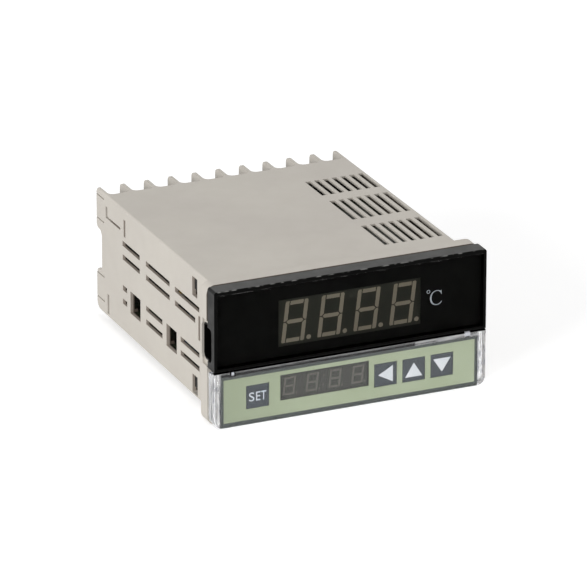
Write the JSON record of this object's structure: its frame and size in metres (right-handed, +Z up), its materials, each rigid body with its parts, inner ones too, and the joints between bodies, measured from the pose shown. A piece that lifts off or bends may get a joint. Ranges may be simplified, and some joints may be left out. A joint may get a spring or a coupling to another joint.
{
  "type": "panel temperature controller",
  "caption": "Panel-mounted temperature controller with a beige vented case, dark display lens, green key label with four keys, and a clear flip-up cover.",
  "frame": {"origin": "centre of the panel seat, which is the rear face of the front flange", "axes": "+X to the operator's right, +Y back through the panel towards the terminals, +Z up"},
  "size_m": [0.096, 0.1094, 0.048],
  "materials": {
    "case_abs": "fine spark texture, beige",
    "bezel_abs": "satin, near black",
    "lens_acrylic": "polished smoked acrylic, printed black behind",
    "cover_polycarbonate": "polished, clear",
    "label_film": "matt green printed film",
    "window_acrylic": "polished smoked acrylic",
    "key_plastic": "matt slate",
    "switch_plastic": "moulded black",
    "switch_button_plastic": "moulded brown",
    "display_plastic": "dark filled face",
    "segment_epoxy": "unlit diffuser",
    "board_laminate": "green solder mask",
    "header_plastic": "moulded black with gilt pins",
    "core_steel": "laminated steel, varnished",
    "bobbin_plastic": "moulded",
    "winding_tape": "polyester tape over copper",
    "capacitor_sleeve": "shrink sleeve",
    "relay_plastic": "moulded",
    "fuse_plastic": "moulded",
    "varistor_epoxy": "dipped epoxy",
    "chip_epoxy": "moulded, tinned legs",
    "can_steel": "drawn can",
    "trimmer_plastic": "moulded",
    "coupler_plastic": "moulded white",
    "terminal_steel": "nickel plated"
  },
  "bodies": {
    "housing": {"case_shell": "case_abs", "front_bezel": "bezel_abs", "display_lens": "lens_acrylic", "key_label": "label_film", "set_value_window": "window_acrylic", "key_switches": "switch_plastic", "process_value_display": "display_plastic", "process_value_segments": "segment_epoxy", "set_value_display": "display_plastic", "set_value_segments": "segment_epoxy", "display_board": "board_laminate", "display_board_screws": "terminal_steel", "power_board": "board_laminate", "main_board": "board_laminate", "power_board_header": "header_plastic", "main_board_header": "header_plastic", "transformer_core": "core_steel", "transformer_bobbin": "bobbin_plastic", "transformer_winding": "winding_tape", "mains_capacitor": "capacitor_sleeve", "output_relay": "relay_plastic", "alarm_relay": "relay_plastic", "fuse": "fuse_plastic", "varistor": "varistor_epoxy", "rectifier": "chip_epoxy", "microcontroller": "chip_epoxy", "converter_chip": "chip_epoxy", "crystal": "can_steel", "calibration_trimmer": "trimmer_plastic", "smoothing_capacitors": "capacitor_sleeve", "optocouplers": "coupler_plastic", "voltage_regulator": "chip_epoxy", "terminal_plates_upper": "terminal_steel", "terminal_washers_upper": "terminal_steel", "terminal_screws_upper": "terminal_steel", "terminal_plates_lower": "terminal_steel", "terminal_washers_lower": "terminal_steel", "terminal_screws_lower": "terminal_steel"},
    "cover": {"front_cover": "cover_polycarbonate"},
    "set_button": {"set_key": "key_plastic", "set_switch_button": "switch_button_plastic"},
    "shift_button": {"shift_key": "key_plastic", "shift_switch_button": "switch_button_plastic"},
    "up_button": {"up_key": "key_plastic", "up_switch_button": "switch_button_plastic"},
    "down_button": {"down_key": "key_plastic", "down_switch_button": "switch_button_plastic"}
  },
  "joints": [
    {"name": "cover_hinge", "type": "hinge", "parent": "housing", "child": "cover", "pos_m": [0, -0.01005, -0.0049], "axis": [-1, 0, 0], "range_deg": [0, 100]},
    {"name": "set_press", "type": "slide", "parent": "housing", "child": "set_button", "axis": [0, 1, 0], "range_m": [0, 0.0003], "stiffness_N_per_m": 1500, "springref_m": -0.0004},
    {"name": "shift_press", "type": "slide", "parent": "housing", "child": "shift_button", "axis": [0, 1, 0], "range_m": [0, 0.0003], "stiffness_N_per_m": 1500, "springref_m": -0.0004},
    {"name": "up_press", "type": "slide", "parent": "housing", "child": "up_button", "axis": [0, 1, 0], "range_m": [0, 0.0003], "stiffness_N_per_m": 1500, "springref_m": -0.0004},
    {"name": "down_press", "type": "slide", "parent": "housing", "child": "down_button", "axis": [0, 1, 0], "range_m": [0, 0.0003], "stiffness_N_per_m": 1500, "springref_m": -0.0004}
  ]
}
